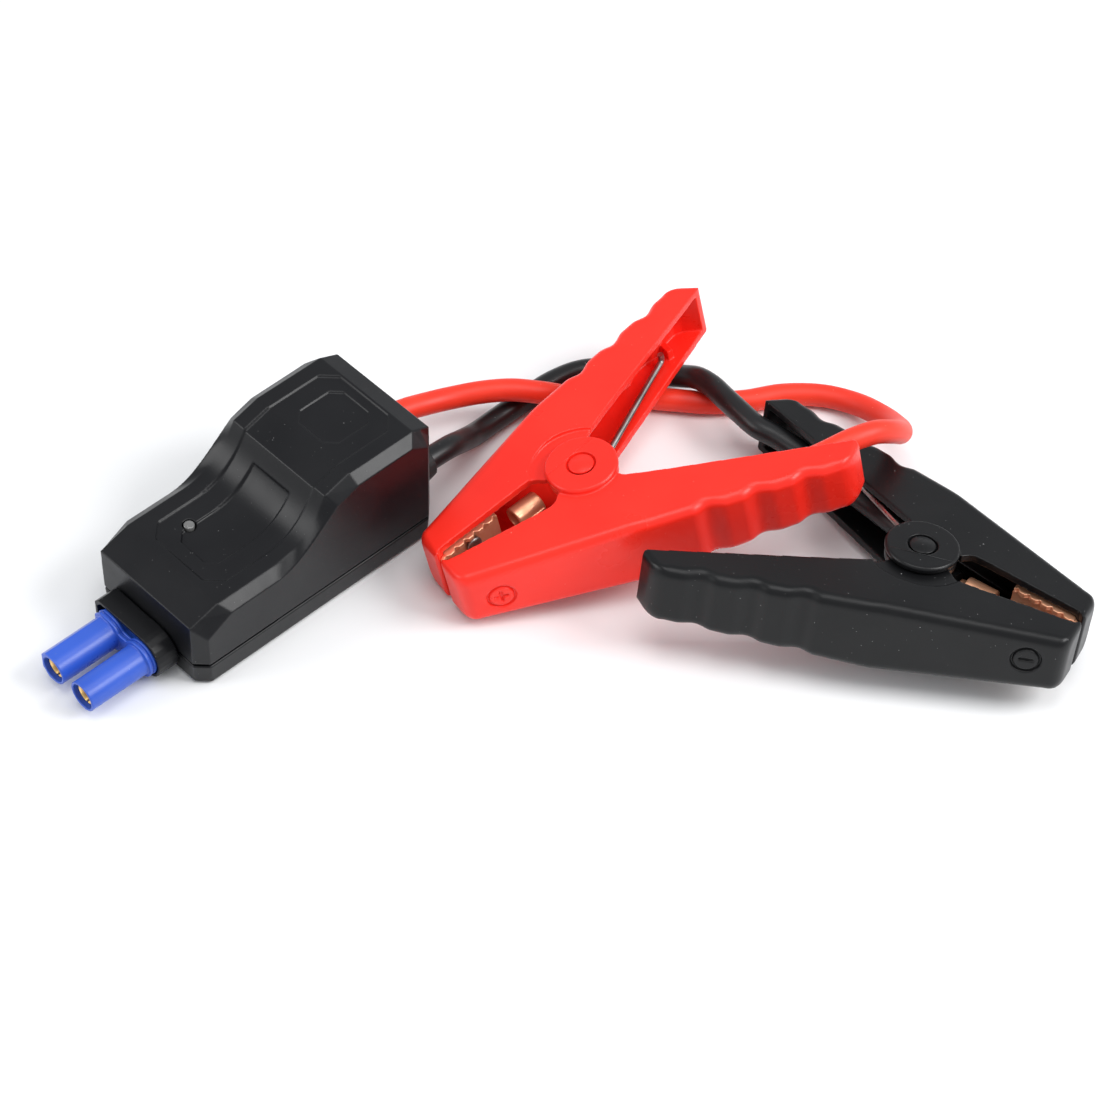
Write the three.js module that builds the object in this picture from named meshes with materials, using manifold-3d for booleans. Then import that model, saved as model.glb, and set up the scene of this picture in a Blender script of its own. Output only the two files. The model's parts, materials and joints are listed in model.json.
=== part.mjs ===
// Jump leads with a control box: a twin-barrel high-current connector, a black
// control box, a red and a black silicone cable, and a spring clamp on each cable.
// Millimetres, +Z up. The origin is the middle of the control box's base.
import * as THREE from 'three';
import { mergeVertices } from 'three/addons/utils/BufferGeometryUtils.js';
import Module from 'manifold-3d';

const wasm = await Module();
wasm.setup();

const GAP = 0.3;
const RAD = Math.PI / 180;

// Control box: x runs from the connector end to the cable end
const BOX = {
  length: 73.5, width: 38, turn: 45.3, wall: 2, corner: 2.8, split: 6.5,
  noseTop: 19.8, lowTop: 22.4, stepTop: 34.2, highTop: 36.5, tailTop: 34.2,
};
const CONNECTOR = { z: 5.9, pitch: 10.75, barrel: 3.95, bore: 3.3, reach: 24, flange: 4.7 };
const CABLE = {
  radius: 2.9, exitSide: 8.6, exitZ: 12, sides: 10,
  // Centre lines: out of the box, over the floor and into the clamp's cable half
  red: [
    [18.2, 30.6, 12], [24.8, 37.3, 12], [29.6, 41.4, 11.3], [35.2, 45.3, 9.9], [41.4, 48.4, 9.1],
    [48.2, 50.4, 9.2], [55.7, 51.2, 9.6], [63, 51.8, 8.4], [70, 53.8, 5.2], [77, 55.7, 3.4],
    [86, 56.5, 3.1], [96, 55.9, 3.1], [105, 55.4, 3.1], [114, 56.4, 3.1], [123.5, 59, 3.1],
    [133.5, 59.2, 3.1], [142, 55.8, 3.9], [147.8, 49, 6.8], [150.4, 40.8, 12], [150.1, 33, 18.6],
    [147.2, 27, 25], [142.6, 23.2, 28.6], [137, 20, 29.1], [130.5, 16.9, 27.5], [121.7, 13, 25.5],
    [112.3, 9.4, 23.4], [96.7, 6.4, 20.3], [87.4, 4.5, 18.3], [81.1, 3.6, 16.2],
    [76.6, 3.3, 14.7], [73.8, 3.1, 13.8], [71.9, 2.9, 13.4],
  ],
  black: [
    [30.2, 18.3, 12], [37.2, 25.3, 12], [41.4, 30.3, 10.8], [44.6, 35.8, 7.4], [47.4, 41, 4.3],
    [52, 47, 3.1], [58.6, 53.8, 3.1], [65.6, 60.6, 3.1], [73, 64.9, 3.1], [81.5, 65.9, 3.1],
    [88.5, 65.6, 3.1], [94, 64.2, 3.6], [98.3, 61.7, 5.8], [101.8, 58.7, 8.4], [105, 55.1, 9.7],
    [108.3, 50.4, 10.3], [112.2, 45, 10.9], [116.1, 40.1, 11.3], [120.9, 37, 11.2],
    [125.7, 33.2, 10.8], [130.2, 28.8, 10.7], [135.3, 23.2, 11], [141.1, 16.9, 11.7],
    [146.1, 11.2, 12.3], [152.5, 3.9, 12.9], [156.7, -1.2, 12.7], [159.2, -5.1, 12.6],
    [160.9, -7.5, 12.5], [162, -9, 12.5],
  ],
};

// Clamp: x points to the jaws, y to the half that holds the cable, z along the pivot
const CLAMP = {
  pivotHalf: 9.9, noseHalf: 7.65, endHalf: 7.5, noseX: 40.9, endX: -50.5, innerEndX: -56,
  wall: 2, disc: 8.85, discTop: 11.1, discUnder: 9.2, ear: 8.5, recess: 12.8, boss: 3.3,
  pinRadius: 2.4, pinHole: 2.75, coil: 3.8, wire: 0.8, coilHalf: 5, coilTurns: 5,
  legAngle: 33, legReach: 49.6, grooves: [-16.6, -28.1, -39.6], grooveHalf: 4.2, grooveDepth: 1.2,
};
const POSES = {
  red: { place: [75.4, 12.4, 15.15], turn: 213.2, tiltX: -0.1, tiltY: -11.6 },
  black: { place: [152.1, -10.5, 14.5], turn: 333.8, tiltX: -8.9, tiltY: 4 },
};

const finish = (color, roughness, metalness) => {
  return new THREE.MeshStandardMaterial({ color, roughness, metalness });
};
const MATERIALS = {
  caseBlack: finish(0x1b1c1e, 0.42, 0),
  clampRed: finish(0xd9211b, 0.38, 0),
  clampBlack: finish(0x1c1d1f, 0.45, 0),
  cableRed: finish(0xd43a2c, 0.55, 0),
  cableBlack: finish(0x17181a, 0.5, 0),
  blue: finish(0x2f55c4, 0.4, 0),
  brass: finish(0xc98f3c, 0.3, 1),
  copper: finish(0xc9703f, 0.32, 1),
  steel: finish(0x9a9b9c, 0.3, 1),
  board: finish(0x1f6b3a, 0.55, 0),
  chip: finish(0x222326, 0.5, 0),
  rubber: finish(0x161617, 0.8, 0),
  lens: finish(0xe8ecee, 0.1, 0),
};

// ---- Solids -------------------------------------------------------------

function solid(geometry) {
  const bare = geometry.index ? geometry : geometry.clone();
  bare.deleteAttribute('normal');
  bare.deleteAttribute('uv');
  const merged = mergeVertices(bare, 1e-4);
  const corners = merged.index.array;
  const kept = [];
  for (let i = 0; i < corners.length; i += 3) {
    const [a, b, c] = [corners[i], corners[i + 1], corners[i + 2]];
    if (a !== b && b !== c && c !== a) kept.push(a, b, c);
  }
  return new wasm.Manifold(new wasm.Mesh({
    numProp: 3,
    vertProperties: new Float32Array(merged.attributes.position.array),
    triVerts: new Uint32Array(kept),
  }));
}

function geometryOf(body) {
  const found = body.getMesh();
  const geometry = new THREE.BufferGeometry();
  geometry.setAttribute('position', new THREE.BufferAttribute(found.vertProperties, 3));
  geometry.setIndex(new THREE.BufferAttribute(found.triVerts, 1));
  geometry.computeVertexNormals();
  return geometry;
}

function piece(name, body, material) {
  const geometry = body instanceof THREE.BufferGeometry ? body : geometryOf(body);
  const mesh = new THREE.Mesh(geometry, material);
  mesh.name = name;
  return mesh;
}

// Closed body through rings of the same number of points, each ring convex
function loft(rings) {
  const count = rings[0].length;
  const positions = rings.flat().flatMap((p) => [p[0], p[1], p[2]]);
  const span = (a, b) => Math.hypot(a[0] - b[0], a[1] - b[1], a[2] - b[2]);
  const faces = [];
  for (let r = 0; r + 1 < rings.length; r++) {
    for (let i = 0; i < count; i++) {
      const j = (i + 1) % count;
      const [a, b] = [r * count + i, r * count + j];
      const [c, d] = [a + count, b + count];
      const level = span(rings[r][i], rings[r + 1][j]) <= span(rings[r][j], rings[r + 1][i]);
      if (level) faces.push(a, b, d, a, d, c);
      else faces.push(a, b, c, b, d, c);
    }
  }
  const last = (rings.length - 1) * count;
  for (let i = 1; i + 1 < count; i++) {
    faces.push(0, i + 1, i);
    faces.push(last, last + i, last + i + 1);
  }
  const geometry = new THREE.BufferGeometry();
  geometry.setAttribute('position', new THREE.Float32BufferAttribute(positions, 3));
  geometry.setIndex(faces);
  return geometry;
}

function prism(points, bottom, top) {
  const shape = new THREE.Shape(points.map(([x, y]) => new THREE.Vector2(x, y)));
  const options = { depth: top - bottom, bevelEnabled: false, curveSegments: 8 };
  return new THREE.ExtrudeGeometry(shape, options).translate(0, 0, bottom);
}

function block(x0, x1, y0, y1, z0, z1) {
  const geometry = new THREE.BoxGeometry(x1 - x0, y1 - y0, z1 - z0);
  return geometry.translate((x0 + x1) / 2, (y0 + y1) / 2, (z0 + z1) / 2);
}

function upright(radius, bottom, top, sides = 32) {
  const geometry = new THREE.CylinderGeometry(radius, radius, top - bottom, sides);
  return geometry.rotateX(Math.PI / 2).translate(0, 0, (bottom + top) / 2);
}

// Turned body about the x axis from [x, radius] points
function turned(profile, sides = 24) {
  const points = profile.map(([x, r]) => new THREE.Vector2(r, x));
  return new THREE.LatheGeometry(points, sides).rotateZ(-Math.PI / 2);
}

function tube(points, radius, sides, steps) {
  const path = new THREE.CatmullRomCurve3(points.map((p) => new THREE.Vector3(...p)));
  const ring = [];
  for (let i = 0; i < sides; i++) {
    const angle = 2 * Math.PI * i / sides;
    ring.push(new THREE.Vector2(radius * Math.cos(angle), radius * Math.sin(angle)));
  }
  const options = { steps, extrudePath: path, bevelEnabled: false };
  return new THREE.ExtrudeGeometry(new THREE.Shape(ring), options);
}

// ---- Control box --------------------------------------------------------

// Top and side edges from the connector end; each pair is one station along the box
function boxStations() {
  const { length, corner, noseTop, lowTop, stepTop, highTop, tailTop } = BOX;
  const topCurve = new THREE.CubicBezierCurve(
    new THREE.Vector2(25, lowTop), new THREE.Vector2(33, lowTop),
    new THREE.Vector2(37.5, 27), new THREE.Vector2(41.2, stepTop));
  const sideCurve = new THREE.CubicBezierCurve(
    new THREE.Vector2(23, 20.2), new THREE.Vector2(30, 20.2),
    new THREE.Vector2(35, 26), new THREE.Vector2(42.6, 32));
  const stations = [
    { top: [0, noseTop], side: [0, 16.2], narrow: true },
    { top: [3, noseTop + 0.94], side: [corner, 16.2] },
    { top: [8.3, lowTop], side: [10.2, 20.2] },
  ];
  const pieces = 7;
  for (let i = 0; i <= pieces; i++) {
    const top = topCurve.getPoint(i / pieces);
    const side = sideCurve.getPoint(i / pieces);
    stations.push({ top: [top.x, top.y], side: [side.x, side.y] });
  }
  stations.push({ top: [48.7, highTop], side: [49, 34.2] });
  stations.push({ top: [68.2, highTop], side: [65.7, 34.3] });
  stations.push({ top: [length - 3, tailTop + 1.3], side: [length - corner, 31.2] });
  stations.push({ top: [length, tailTop], side: [length, 31.2], narrow: true });
  return stations;
}

function boxRings(inset, drop, bottom) {
  const { length, width, corner } = BOX;
  const along = (u) => inset + u * (length - 2 * inset) / length - length / 2;
  const inner = width / 2 - corner - inset;
  const outer = width / 2 - inset;
  return boxStations().map(({ top, side, narrow }) => {
    const half = narrow ? inner : outer;
    return [
      [along(side[0]), -half, bottom],
      [along(side[0]), half, bottom],
      [along(side[0]), half, side[1] - drop],
      [along(top[0]), inner, top[1] - drop],
      [along(top[0]), -inner, top[1] - drop],
      [along(side[0]), -half, side[1] - drop],
    ];
  });
}

// Rectangle with cut corners, x measured from the connector end of the box
function cutRectangle(x0, x1, half, frontCut, rearCut) {
  const start = x0 - BOX.length / 2;
  const end = x1 - BOX.length / 2;
  return [
    [start, -half + frontCut], [start + frontCut, -half],
    [end - rearCut, -half], [end, -half + rearCut],
    [end, half - rearCut], [end - rearCut, half],
    [start + frontCut, half], [start, half - frontCut],
  ];
}

// What lies within a depth below the box's outer top surface, inside an outline
function sunkPanel(outline, depth) {
  const under = solid(loft(boxRings(0, depth, -10)));
  const skin = solid(loft(boxRings(0, 0, 5))).subtract(under);
  return skin.intersect(solid(prism(outline, 10, 45)));
}

const SCREWS = [[-30, -12.6], [-30, 12.6], [23, -14], [23, 14]];
const LED = { x: 19.2 - BOX.length / 2, y: 7.1, radius: 1.5 };

function collarOutline(grow) {
  const half = 5.8 + grow;
  const right = -(CONNECTOR.pitch / 2 + 0.05);
  const left = 12 + grow;
  const points = [];
  for (let a = 90; a <= 270; a += 15) {
    points.push([right + half * Math.cos(a * RAD), half * Math.sin(a * RAD)]);
  }
  points.push([left - 3.2, -half], [left, -half + 3.2], [left, half - 1.4], [left - 1.4, half]);
  return points;
}

// Outline across the box (y, z) pushed along x
function acrossPrism(outline, x0, x1, z) {
  const geometry = prism(outline, x0, x1);
  geometry.applyMatrix4(new THREE.Matrix4().set(
    0, 0, 1, 0,
    1, 0, 0, 0,
    0, 1, 0, z,
    0, 0, 0, 1));
  return geometry;
}

function upperShell() {
  const { wall, split, length } = BOX;
  let body = solid(loft(boxRings(0, 0, split + GAP)));
  body = body.subtract(solid(loft(boxRings(wall, wall, split - 2))));
  for (const [x, y] of SCREWS) {
    const top = x < 0 ? 20.4 : 35;
    body = body.add(solid(upright(2.6, split + GAP, top, 16).translate(x, y, 0)));
    body = body.subtract(solid(upright(1.4, split - 1, 16, 12).translate(x, y, 0)));
  }
  body = body.subtract(sunkPanel(cutRectangle(10.4, 67.8, 12.3, 3.8, 3.8), 0.35));
  body = body.subtract(sunkPanel(cutRectangle(14.4, 38.7, 6.6, 2.4, 0.01), 0.7));
  body = body.subtract(sunkPanel(cutRectangle(51, 65.3, 7, 2.6, 2.6), 0.7));
  body = body.subtract(solid(upright(LED.radius + GAP, 15, 30, 24).translate(LED.x, LED.y, 0)));
  const neck = acrossPrism(collarOutline(-1.2), -length / 2 - 1, -length / 2 + 6, CONNECTOR.z);
  body = body.subtract(solid(neck));
  for (const side of [-1, 1]) {
    const hole = turned([[0, 0], [0, 4.4], [6, 4.4], [6, 0]]);
    hole.translate(length / 2 - 4, side * CABLE.exitSide, CABLE.exitZ);
    body = body.subtract(solid(hole));
  }
  return piece('upper_shell', body, MATERIALS.caseBlack);
}

function coverRing(inset, z) {
  const { length, width, corner } = BOX;
  const [x, y] = [length / 2 - inset, width / 2 - inset];
  return [
    [-x, -y + corner, z], [-x + corner, -y, z], [x - corner, -y, z], [x, -y + corner, z],
    [x, y - corner, z], [x - corner, y, z], [-x + corner, y, z], [-x, y - corner, z],
  ];
}

function lowerCover() {
  const { wall, split, length } = BOX;
  let body = solid(loft([coverRing(0.9, 0), coverRing(0.4, 0.6), coverRing(0, split)]));
  body = body.subtract(solid(loft([coverRing(wall + 0.5, wall), coverRing(wall, split + 1)])));
  for (const [x, y] of SCREWS) {
    body = body.add(solid(upright(3.4, 0.8, split - 0.4, 16).translate(x, y, 0)));
    body = body.subtract(solid(upright(1.7, -1, split + 1, 12).translate(x, y, 0)));
    body = body.subtract(solid(upright(3, -1, 2.4, 16).translate(x, y, 0)));
  }
  const neck = acrossPrism(collarOutline(-1.2), -length / 2 - 1, -length / 2 + 6, CONNECTOR.z);
  return piece('lower_cover', body.subtract(solid(neck)), MATERIALS.caseBlack);
}

function coverScrews() {
  return SCREWS.map(([x, y], i) => {
    const head = upright(2.6, 0.5, 2.1, 16).translate(x, y, 0);
    const shank = upright(1.05, 2, 13, 8).translate(x, y, 0);
    return piece(`cover_screw_${i + 1}`, solid(head).add(solid(shank)), MATERIALS.steel);
  });
}

function connectorCollar() {
  const front = -BOX.length / 2;
  const rim = solid(acrossPrism(collarOutline(0), front - 6, front - GAP, CONNECTOR.z));
  const neck = solid(acrossPrism(collarOutline(-1.5), front - 2, front + 3.5, CONNECTOR.z));
  const well = solid(acrossPrism(collarOutline(-0.8), front - 7, front - 2, CONNECTOR.z));
  const core = solid(acrossPrism(collarOutline(-2.6), front - 3, front + 5, CONNECTOR.z));
  return piece('connector_collar', rim.add(neck).subtract(well).subtract(core),
    MATERIALS.caseBlack);
}

// Barrel outline across the box: round, or with the outer side squared and cut
function barrelOutline(radius, squared) {
  const points = [];
  for (let a = 0; a < 360; a += 15) {
    points.push([radius * Math.cos(a * RAD), radius * Math.sin(a * RAD)]);
  }
  if (!squared) return points;
  const cut = radius * 0.42;
  return [
    ...points.filter(([y]) => y <= 0.01),
    [0, -radius], [radius - cut * 1.3, -radius], [radius, -radius + cut * 1.3],
    [radius, radius - cut], [radius - cut, radius], [0, radius],
  ].filter((p, i, all) => i === 0 || Math.hypot(p[0] - all[i - 1][0], p[1] - all[i - 1][1]) > 0.01);
}

function connectorHousing() {
  const front = -BOX.length / 2;
  let body = null;
  for (const side of [-1, 1]) {
    const put = (outline, x0, x1) => solid(acrossPrism(outline, x0, x1, CONNECTOR.z)
      .translate(0, side * CONNECTOR.pitch / 2, 0));
    const parts = [
      put(barrelOutline(CONNECTOR.barrel, side > 0), front - CONNECTOR.reach, front - 2.5),
      put(barrelOutline(CONNECTOR.flange, side > 0), front - 6.6, front - 5.9),
      put(barrelOutline(CONNECTOR.flange - 0.5, side > 0), front - 6, front - 5),
      put(barrelOutline(CONNECTOR.flange, side > 0), front - 5.1, front - 2.5),
    ];
    for (const part of parts) body = body ? body.add(part) : part;
  }
  const bridge = block(front - 6.6, front - 2.5, -2.6, 2.6, CONNECTOR.z - 2.2, CONNECTOR.z + 2.2);
  const base = acrossPrism(collarOutline(-3), front - 2.6, front + 6, CONNECTOR.z);
  body = body.add(solid(bridge)).add(solid(base));
  for (const side of [-1, 1]) {
    const bore = turned([[0, 0], [0, CONNECTOR.bore], [20, CONNECTOR.bore], [20, 2.7], [45, 2.7],
      [45, 0]]);
    bore.translate(front - CONNECTOR.reach - 1, side * CONNECTOR.pitch / 2, CONNECTOR.z);
    body = body.subtract(solid(bore));
  }
  return piece('connector_housing', body, MATERIALS.blue);
}

function connectorSocket(name, side) {
  const front = -BOX.length / 2;
  const sleeve = turned([[0, 2.5], [0, 3.05], [17.5, 3.05], [17.5, 2.3], [29, 2.3], [29, 0],
    [16, 0], [16, 2.5], [0, 2.5]]);
  sleeve.translate(front - CONNECTOR.reach + 1.2, side * CONNECTOR.pitch / 2, CONNECTOR.z);
  return piece(name, sleeve, MATERIALS.brass);
}

const BOARD = { x0: -24, x1: 29, half: 9.4, z0: 10.4, z1: 12 };

function electronics() {
  const { x0, x1, half, z0, z1 } = BOARD;
  const above = z1 + GAP;
  const board = solid(block(x0, x1, -half, half, z0, z1));
  const part = (name, box, material) => piece(name, block(...box), material);
  const can = upright(3.6, above, above + 12, 20).translate(6.4, -4.2, 0);
  return [
    piece('circuit_board', board, MATERIALS.board),
    part('power_relay', [11, 25, -7, 7, above, above + 15], MATERIALS.chip),
    part('mosfet_1', [-12, -6, -8.6, -3.4, above, above + 2.4], MATERIALS.chip),
    part('mosfet_2', [-12, -6, -2.4, 2.8, above, above + 2.4], MATERIALS.chip),
    part('control_chip', [-4, 2, 1.5, 7.5, above, above + 1.6], MATERIALS.chip),
    piece('capacitor', can, MATERIALS.steel),
  ];
}

// Flat bar from a connector socket's tail up to the board
function busbar(name, side) {
  const y = side * CONNECTOR.pitch / 2;
  const tail = -BOX.length / 2 - CONNECTOR.reach + 3.2 + 27 + GAP;
  const foot = solid(block(tail, tail + 4, y - 2, y + 2, CONNECTOR.z - 2, CONNECTOR.z - 0.8));
  const riser = solid(block(tail + 2.8, tail + 4, y - 2, y + 2, CONNECTOR.z - 2, 13.6));
  const head = solid(block(tail + 2.8, -20.3, y - 2, y + 2, BOARD.z1 + GAP, 13.6));
  return piece(name, foot.add(riser).add(head), MATERIALS.copper);
}

function statusLight() {
  const { x, y, radius } = LED;
  const profile = [[0, 17.6], [radius + 0.4, 17.6], [radius + 0.4, 18.6], [radius, 18.6]];
  for (let a = 0; a < 90; a += 18) {
    profile.push([radius * Math.cos(a * RAD), 21.7 + 0.6 * radius * Math.sin(a * RAD)]);
  }
  profile.push([0, 21.7 + 0.6 * radius]);
  const points = profile.map(([r, z]) => new THREE.Vector2(r, z));
  const dome = new THREE.LatheGeometry(points, 20).rotateX(Math.PI / 2).translate(x, y, 0);
  return piece('status_led', dome, MATERIALS.lens);
}

function lightHolder() {
  const { x, y } = LED;
  const post = solid(block(x - 2.2, x + 2.2, y - 2.2, y + 2.2, BOARD.z1 + GAP, 17.3));
  return piece('led_holder', post, MATERIALS.chip);
}

// Sleeve in the rear wall, with a groove that the wall sits in
function cableGrommet(name, side) {
  const r = CABLE.radius + GAP;
  const body = turned([[-2.6, r], [-2.6, 5.1], [-0.3, 5.1], [-0.3, 4.1], [2.3, 4.1], [2.3, 5],
    [8, 3.9], [8, r], [-2.6, r]]);
  body.translate(BOX.length / 2 - 2, side * CABLE.exitSide, CABLE.exitZ);
  return piece(name, body, MATERIALS.rubber);
}

// Ferrule on the bared end of a cable, with a tongue on the board
function cableLug(name, side) {
  const y = side * CABLE.exitSide;
  const barrel = turned([[0, 0], [0, 2.4], [3.6, 2.4], [3.6, 0]], 16);
  const tongue = block(25.6, 31, y - 1.6, y + 1.6, BOARD.z1 + GAP, BOARD.z1 + 1.5);
  barrel.translate(29.6, y, CABLE.exitZ);
  return piece(name, solid(barrel).add(solid(tongue)), MATERIALS.copper);
}

function controlBox() {
  const group = new THREE.Group();
  group.rotation.z = BOX.turn * RAD;
  group.add(upperShell(), lowerCover(), ...coverScrews(), connectorCollar(), connectorHousing());
  group.add(connectorSocket('socket_positive', 1), connectorSocket('socket_negative', -1));
  group.add(...electronics(), busbar('busbar_positive', 1), busbar('busbar_negative', -1));
  group.add(statusLight(), lightHolder());
  group.add(cableGrommet('red_grommet', 1), cableGrommet('black_grommet', -1));
  group.add(cableLug('red_lug', 1), cableLug('black_lug', -1));
  return group;
}

// ---- Clamps -------------------------------------------------------------

function halfHeight(x) {
  const { pivotHalf, noseHalf, endHalf, noseX, innerEndX } = CLAMP;
  if (x > 0) return pivotHalf - (pivotHalf - noseHalf) * x / noseX;
  return pivotHalf - (pivotHalf - endHalf) * x / innerEndX;
}

// Back of the grip: a straight run from the nose, then three shallow finger grooves
function backEdge(x) {
  if (x > -2) return 9.9 + 0.3635 * (CLAMP.noseX - x);
  const away = Math.min(...CLAMP.grooves.map((groove) => Math.abs(x - groove)));
  const reach = Math.min(away / CLAMP.grooveHalf, 1);
  return 25.5 + 0.285 * (-2 - x) - CLAMP.grooveDepth * (1 + Math.cos(Math.PI * reach)) / 2;
}

// Stations from nose to hand end: inner edge point and outer edge point
function gripStations() {
  const { noseX, endX, innerEndX } = CLAMP;
  const stations = [
    [[40.3, 1], [noseX, 9.2]], [[39, 2.2], [39.2, backEdge(39.2)]],
    [[32, 3], [32, backEdge(32)]], [[22, 4.2], [22, backEdge(22)]],
    [[14, 5.1], [13, backEdge(13)]], [[10.4, 5], [8, backEdge(8)]],
    [[8, 3.6], [3, backEdge(3)]], [[2, 3], [-2, backEdge(-2)]], [[-4, 5], [-4.6, backEdge(-4.6)]],
    [[-7, 9.3], [-7.6, backEdge(-7.6)]],
  ];
  const innerY = (x) => 9.3 + (x + 7) * (34.2 - 9.3) / (innerEndX + 7);
  const bends = [4.2, 2.1, 0, -2.1, -4.2];
  for (const x of CLAMP.grooves.flatMap((groove) => bends.map((bend) => groove + bend))) {
    const inner = x - 2.4 * (x + 7) / (endX + 7);
    stations.push([[inner, innerY(inner)], [x, backEdge(x)]]);
  }
  stations.push([[-53.6, innerY(-53.6)], [-48.4, 38.6]]);
  stations.push([[innerEndX, 34.2], [endX - 1.2, 37.6]]);
  return stations;
}

function gripRing([inner, outer], round) {
  const across = [outer[0] - inner[0], outer[1] - inner[1]];
  const size = Math.hypot(...across);
  const at = (back, z) => {
    const t = 1 - back / size;
    return [inner[0] + across[0] * t, inner[1] + across[1] * t, z];
  };
  const [hi, ho] = [halfHeight(inner[0]), halfHeight(outer[0])];
  const soft = round * 0.3;
  return [
    [...inner, -hi], [...inner, hi],
    at(round, ho), at(soft, ho - soft), at(0, ho - round),
    at(0, -ho + round), at(soft, -ho + soft), at(round, -ho),
  ];
}

function gripCavityRing([inner, outer], wall) {
  const across = [outer[0] - inner[0], outer[1] - inner[1]];
  const size = Math.hypot(...across);
  const at = (t, z) => [inner[0] + across[0] * t, inner[1] + across[1] * t, z];
  const [hi, ho] = [halfHeight(inner[0]) - wall, halfHeight(outer[0]) - wall];
  const open = -6 / size;
  const back = 1 - wall / size;
  return [at(open, -hi), at(open, hi), at(back, ho), at(back, -ho)];
}

// Cutter for an engraved ring with a bar or cross on the back of the nose
function polarityMark(positive) {
  const ring = solid(upright(3.5, -0.35, 1, 24)).subtract(solid(upright(3.1, -1, 2, 24)));
  let mark = ring.add(solid(block(-1.6, 1.6, -0.25, 0.25, -0.35, 1)));
  if (positive) mark = mark.add(solid(block(-0.25, 0.25, -1.6, 1.6, -0.35, 1)));
  const slope = Math.atan(0.3635);
  const place = new THREE.Matrix4().makeRotationZ(-slope);
  place.multiply(new THREE.Matrix4().makeRotationX(-Math.PI / 2));
  place.setPosition(32.6, backEdge(32.6), -1);
  return mark.transform(place.elements);
}

function gripHalf(positive) {
  const { wall, disc, discTop, discUnder, ear, recess, boss, pinHole } = CLAMP;
  const stations = gripStations();
  let body = solid(loft(stations.map((s) => gripRing(s, 2.4))));
  const inside = stations.slice(1, -1).map(([inner, outer]) => [[...inner], [...outer]]);
  inside[0] = [[38.6, 2.2], [38.6, backEdge(38.6)]];
  inside[inside.length - 1] = [[-53.4, 32.9], [-47.6, 37.4]];
  body = body.subtract(solid(loft(inside.map((s) => gripCavityRing(s, wall)))));
  const earTop = pinEarTop();
  body = body.subtract(solid(upright(disc + GAP, 0, discUnder, 40)));
  body = body.subtract(solid(upright(recess, -14, -earTop, 48)));
  body = body.add(solid(upright(disc, discUnder, discTop, 40)));
  body = body.add(solid(upright(ear, -earTop, -earTop + wall, 40)));
  body = body.subtract(solid(upright(pinHole, -14, 14, 24)));
  body = body.subtract(solid(upright(boss + GAP, discTop - 1, 14, 24)));
  const [rivetPost, rivetBore] = rivetBoss();
  body = body.add(rivetPost).subtract(rivetBore);
  return body.add(springStop()).subtract(polarityMark(positive));
}

function pinEarTop() {
  return CLAMP.discUnder - GAP;
}

// Low block on the grip's inner back wall that holds the hooked end of the spring
function springStop() {
  return solid(block(-43, -41.4, 30.2, 34.6, 3.6, 5.9));
}

// Plate with tooth rails along both edges, narrowed to a rolled crimp barrel
function jawPlate() {
  const front = (x) => 0.5 + (39.6 - x) * 0.235;
  const line = [[39.6, 0.5], [37.4, 1.9], [34, 2.9], [22, 5.2]];
  const thick = 0.9;
  const outline = [...line, ...line.map(([x, y]) => [x + 0.1, y + thick]).reverse()];
  let body = solid(prism(outline, -5, 5));
  const teeth = [];
  const pitch = 3;
  for (let i = 0; i < 6; i++) {
    const x = 37.2 - i * pitch;
    const y = front(x) + 0.85;
    teeth.push([x, y], [x - 0.7, y - 0.75], [x - 1.9, y - 0.55], [x - 2.5, y + 0.15]);
  }
  const rail = [...teeth, [20, 6.2], [38.4, 2.9]];
  for (const z of [-5.2, 3.9]) body = body.add(solid(prism(rail, z, z + 1.3)));
  const neck = [[23, 5], [17.6, 5.9], [17.6, 6.9], [23, 6.1]];
  body = body.add(solid(prism(neck, -3.6, 2.4)));
  const outer = turned([[0, 2.15], [0, 3.05], [7.4, 3.05], [7.4, 2.15], [0, 2.15]], 20);
  const barrel = solid(outer.rotateZ(BARREL.lean).translate(BARREL.x, BARREL.y, BARREL.z));
  const seam = solid(block(10, 19.5, 1.2, 4, -1.3, -0.7));
  return body.add(barrel.subtract(seam)).subtract(solid(rivetHole()));
}

const BARREL = { x: 11, y: 5.2, z: -1, lean: -0.16 };
const RIVET = { x: 30.2, y: 3.7, z: -1.8, radius: 1.1, lean: -0.19 };

function rivetHole() {
  const hole = new THREE.CylinderGeometry(RIVET.radius + GAP, RIVET.radius + GAP, 8, 16);
  return hole.rotateZ(RIVET.lean).translate(RIVET.x, RIVET.y, RIVET.z);
}

// Boss on the grip's inner back wall that the rivet's shank sits in
function rivetBoss() {
  const { x, y, z, radius, lean } = RIVET;
  const boss = new THREE.CylinderGeometry(2.5, 2.5, 7.6, 20).translate(0, 5.1, 0);
  const bore = new THREE.CylinderGeometry(radius + GAP, radius + GAP, 6, 16).translate(0, 4, 0);
  for (const shape of [boss, bore]) shape.rotateZ(lean).translate(x, y, z);
  return [solid(boss), solid(bore)];
}

// Rivet from the plate's face to the grip's back wall
function jawRivet() {
  const { x, y, z, radius, lean } = RIVET;
  const profile = [[0, -1.6], [1.4, -1.45], [2.1, -0.9], [2.1, -0.4], [radius, -0.4],
    [radius, 6.6], [0, 6.6]];
  const points = profile.map(([r, along]) => new THREE.Vector2(r, along));
  return new THREE.LatheGeometry(points, 16).rotateZ(lean).translate(x, y, z);
}

// Bared copper strands between the cable's jacket and the crimp barrel
function conductor() {
  const strands = turned([[-1.7, 0], [-1.7, 1.7], [6.8, 1.7], [6.8, 0]], 16);
  return strands.rotateZ(BARREL.lean).translate(BARREL.x, BARREL.y, BARREL.z);
}

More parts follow.
